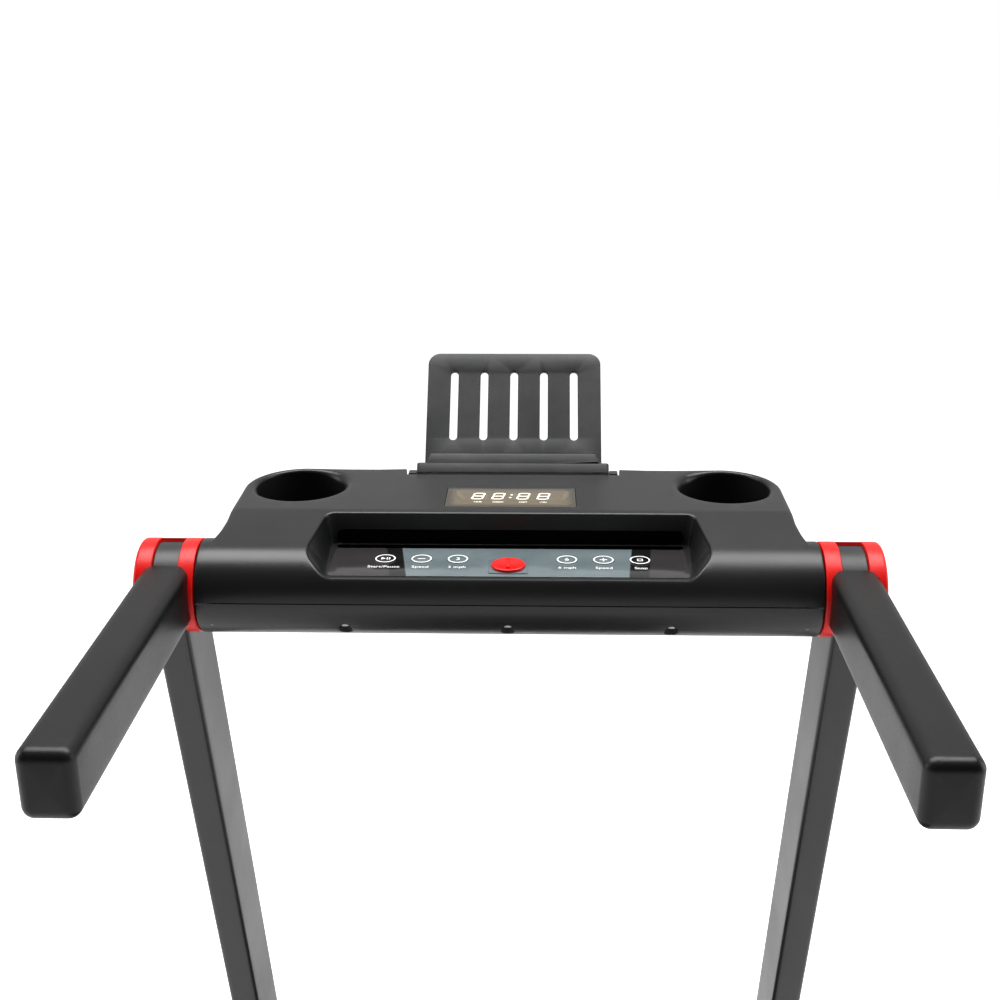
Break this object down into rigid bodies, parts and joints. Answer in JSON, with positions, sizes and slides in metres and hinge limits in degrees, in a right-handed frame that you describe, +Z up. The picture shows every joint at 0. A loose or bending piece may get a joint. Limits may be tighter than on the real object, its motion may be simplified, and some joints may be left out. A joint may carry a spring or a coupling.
{
  "type": "folding motorised treadmill",
  "caption": "Compact motorised treadmill whose leaning uprights fold flat, with a level console, forward handles in red pivot housings, cup wells, a tray and a tablet rest.",
  "frame": {"origin": "on the floor, under the middle of the machine's bounding box", "axes": "+X to the user's right, +Y forward along the walking direction, towards the motor, +Z up"},
  "size_m": [0.6886, 1.2892, 1.1447],
  "materials": {
    "steel_black": "black powder coat on steel",
    "red_plastic": "bright red moulded plastic, satin",
    "black_plastic": "black moulded plastic, fine texture",
    "console_plastic": "dark grey-black moulded plastic, satin",
    "grip_plastic": "dark soft-touch plastic",
    "upright_paint": "dark satin powder coat",
    "tray_black": "black smooth plastic",
    "panel_gloss": "glossy dark printed overlay",
    "smoked_window": "smoked clear acrylic",
    "belt_rubber": "black woven-back PVC running belt",
    "rubber_black": "black rubber",
    "wood_board": "medium-density fibreboard, waxed",
    "bare_steel": "turned or plated steel",
    "key_red": "bright red moulded plastic",
    "seat_grey": "grey translucent plastic",
    "circuit_green": "circuit board",
    "nylon_white": "natural nylon"
  },
  "bodies": {
    "base": {"deck_cross_members": "steel_black", "base_cross_tube": "steel_black", "rubber_feet": "rubber_black", "deck_board": "wood_board", "deck_dampers": "rubber_black", "walking_belt": "belt_rubber", "roller_axles": "bare_steel", "tension_bolts": "bare_steel", "motor_hood": "black_plastic", "inlet_panel": "black_plastic", "motor_pan": "steel_black", "motor_can": "steel_black", "drive_belt": "belt_rubber", "controller": "circuit_green", "wheel_forks": "steel_black", "pivot_bolts": "bare_steel", "side_rail_left": "steel_black", "side_rail_right": "steel_black", "foot_rail_left": "black_plastic", "foot_rail_right": "black_plastic", "rear_cap_left": "black_plastic", "rear_cap_right": "black_plastic", "hinge_bracket_left": "steel_black", "hinge_bracket_right": "steel_black"},
    "uprights": {"upright_left": "upright_paint", "upright_right": "upright_paint", "pivot_housing_left": "red_plastic", "pivot_housing_right": "red_plastic", "pivot_bushes": "nylon_white"},
    "console": {"console_axle": "bare_steel", "console_upper_shell": "console_plastic", "console_lower_shell": "console_plastic", "holder_pin": "bare_steel", "axle_clamps": "black_plastic", "shell_screws": "bare_steel", "tray_insert": "tray_black", "control_overlay": "panel_gloss", "key_seat": "seat_grey", "display_window": "smoked_window", "console_boards": "circuit_green", "handle_arm_left": "steel_black", "handle_arm_right": "steel_black", "handle_cover_left": "grip_plastic", "handle_cover_right": "grip_plastic"},
    "tablet_rest": {"tablet_holder": "black_plastic"},
    "pull_key": {"safety_key": "key_red"},
    "front_drum": {"front_roller": "bare_steel"},
    "rear_drum": {"rear_roller": "bare_steel"},
    "rotor": {"motor_rotor": "bare_steel"},
    "wheel_left": {"front_wheel_left": "black_plastic"},
    "wheel_right": {"front_wheel_right": "black_plastic"},
    "rocker": {"power_rocker": "key_red"},
    "knob_left": {"lock_knob_left": "black_plastic"},
    "knob_right": {"lock_knob_right": "black_plastic"},
    "start_pause_button": {"start_pause_key": "panel_gloss"},
    "slower_button": {"slower_key": "panel_gloss"},
    "walk_button": {"walk_key": "panel_gloss"},
    "jog_button": {"jog_key": "panel_gloss"},
    "faster_button": {"faster_key": "panel_gloss"},
    "stop_button": {"stop_key": "panel_gloss"}
  },
  "joints": [
    {"name": "upright_fold", "type": "hinge", "parent": "base", "child": "uprights", "pos_m": [0, 0.45, 0.19], "axis": [1, 0, 0], "range_deg": [0, 74.4]},
    {"name": "console_tilt", "type": "hinge", "parent": "uprights", "child": "console", "pos_m": [0, 0.225, 1], "axis": [1, 0, 0], "range_deg": [-74.4, 0]},
    {"name": "tablet_rest_tilt", "type": "hinge", "parent": "console", "child": "tablet_rest", "pos_m": [0, 0.406, 1.041], "axis": [1, 0, 0], "range_deg": [-50, 15]},
    {"name": "safety_key_pull", "type": "slide", "parent": "console", "child": "pull_key", "axis": [0, 0, 1], "range_m": [0, 0.03]},
    {"name": "start_pause_press", "type": "slide", "parent": "console", "child": "start_pause_button", "axis": [0, 0, -1], "range_m": [0, 0.0005], "stiffness_N_per_m": 900, "springref_m": -0.0002},
    {"name": "slower_press", "type": "slide", "parent": "console", "child": "slower_button", "axis": [0, 0, -1], "range_m": [0, 0.0005], "stiffness_N_per_m": 900, "springref_m": -0.0002},
    {"name": "walk_press", "type": "slide", "parent": "console", "child": "walk_button", "axis": [0, 0, -1], "range_m": [0, 0.0005], "stiffness_N_per_m": 900, "springref_m": -0.0002},
    {"name": "jog_press", "type": "slide", "parent": "console", "child": "jog_button", "axis": [0, 0, -1], "range_m": [0, 0.0005], "stiffness_N_per_m": 900, "springref_m": -0.0002},
    {"name": "faster_press", "type": "slide", "parent": "console", "child": "faster_button", "axis": [0, 0, -1], "range_m": [0, 0.0005], "stiffness_N_per_m": 900, "springref_m": -0.0002},
    {"name": "stop_press", "type": "slide", "parent": "console", "child": "stop_button", "axis": [0, 0, -1], "range_m": [0, 0.0005], "stiffness_N_per_m": 900, "springref_m": -0.0002},
    {"name": "front_roller_spin", "type": "hinge", "parent": "base", "child": "front_drum", "pos_m": [0, 0.365, 0.102], "axis": [1, 0, 0], "continuous": true},
    {"name": "rear_roller_spin", "type": "hinge", "parent": "base", "child": "rear_drum", "pos_m": [0, -0.59, 0.102], "axis": [1, 0, 0], "continuous": true},
    {"name": "motor_spin", "type": "hinge", "parent": "base", "child": "rotor", "pos_m": [0, 0.505, 0.108], "axis": [1, 0, 0], "continuous": true},
    {"name": "front_wheel_left_spin", "type": "hinge", "parent": "base", "child": "wheel_left", "pos_m": [-0.247, 0.585, 0.028], "axis": [1, 0, 0], "continuous": true},
    {"name": "front_wheel_right_spin", "type": "hinge", "parent": "base", "child": "wheel_right", "pos_m": [0.247, 0.585, 0.028], "axis": [1, 0, 0], "continuous": true},
    {"name": "power_switch_rock", "type": "hinge", "parent": "base", "child": "rocker", "pos_m": [-0.13, 0.642, 0.09], "axis": [1, 0, 0], "range_deg": [-8, 8]},
    {"name": "lock_knob_left_turn", "type": "hinge", "parent": "base", "child": "knob_left", "pos_m": [-0.33, 0.45, 0.19], "axis": [1, 0, 0], "continuous": true},
    {"name": "lock_knob_right_turn", "type": "hinge", "parent": "base", "child": "knob_right", "pos_m": [0.33, 0.45, 0.19], "axis": [1, 0, 0], "continuous": true}
  ],
  "couplings": [
    {"joint": "console_tilt", "follows": "upright_fold", "ratio": -1},
    {"joint": "rear_roller_spin", "follows": "front_roller_spin", "ratio": 1},
    {"joint": "motor_spin", "follows": "front_roller_spin", "ratio": 2}
  ]
}
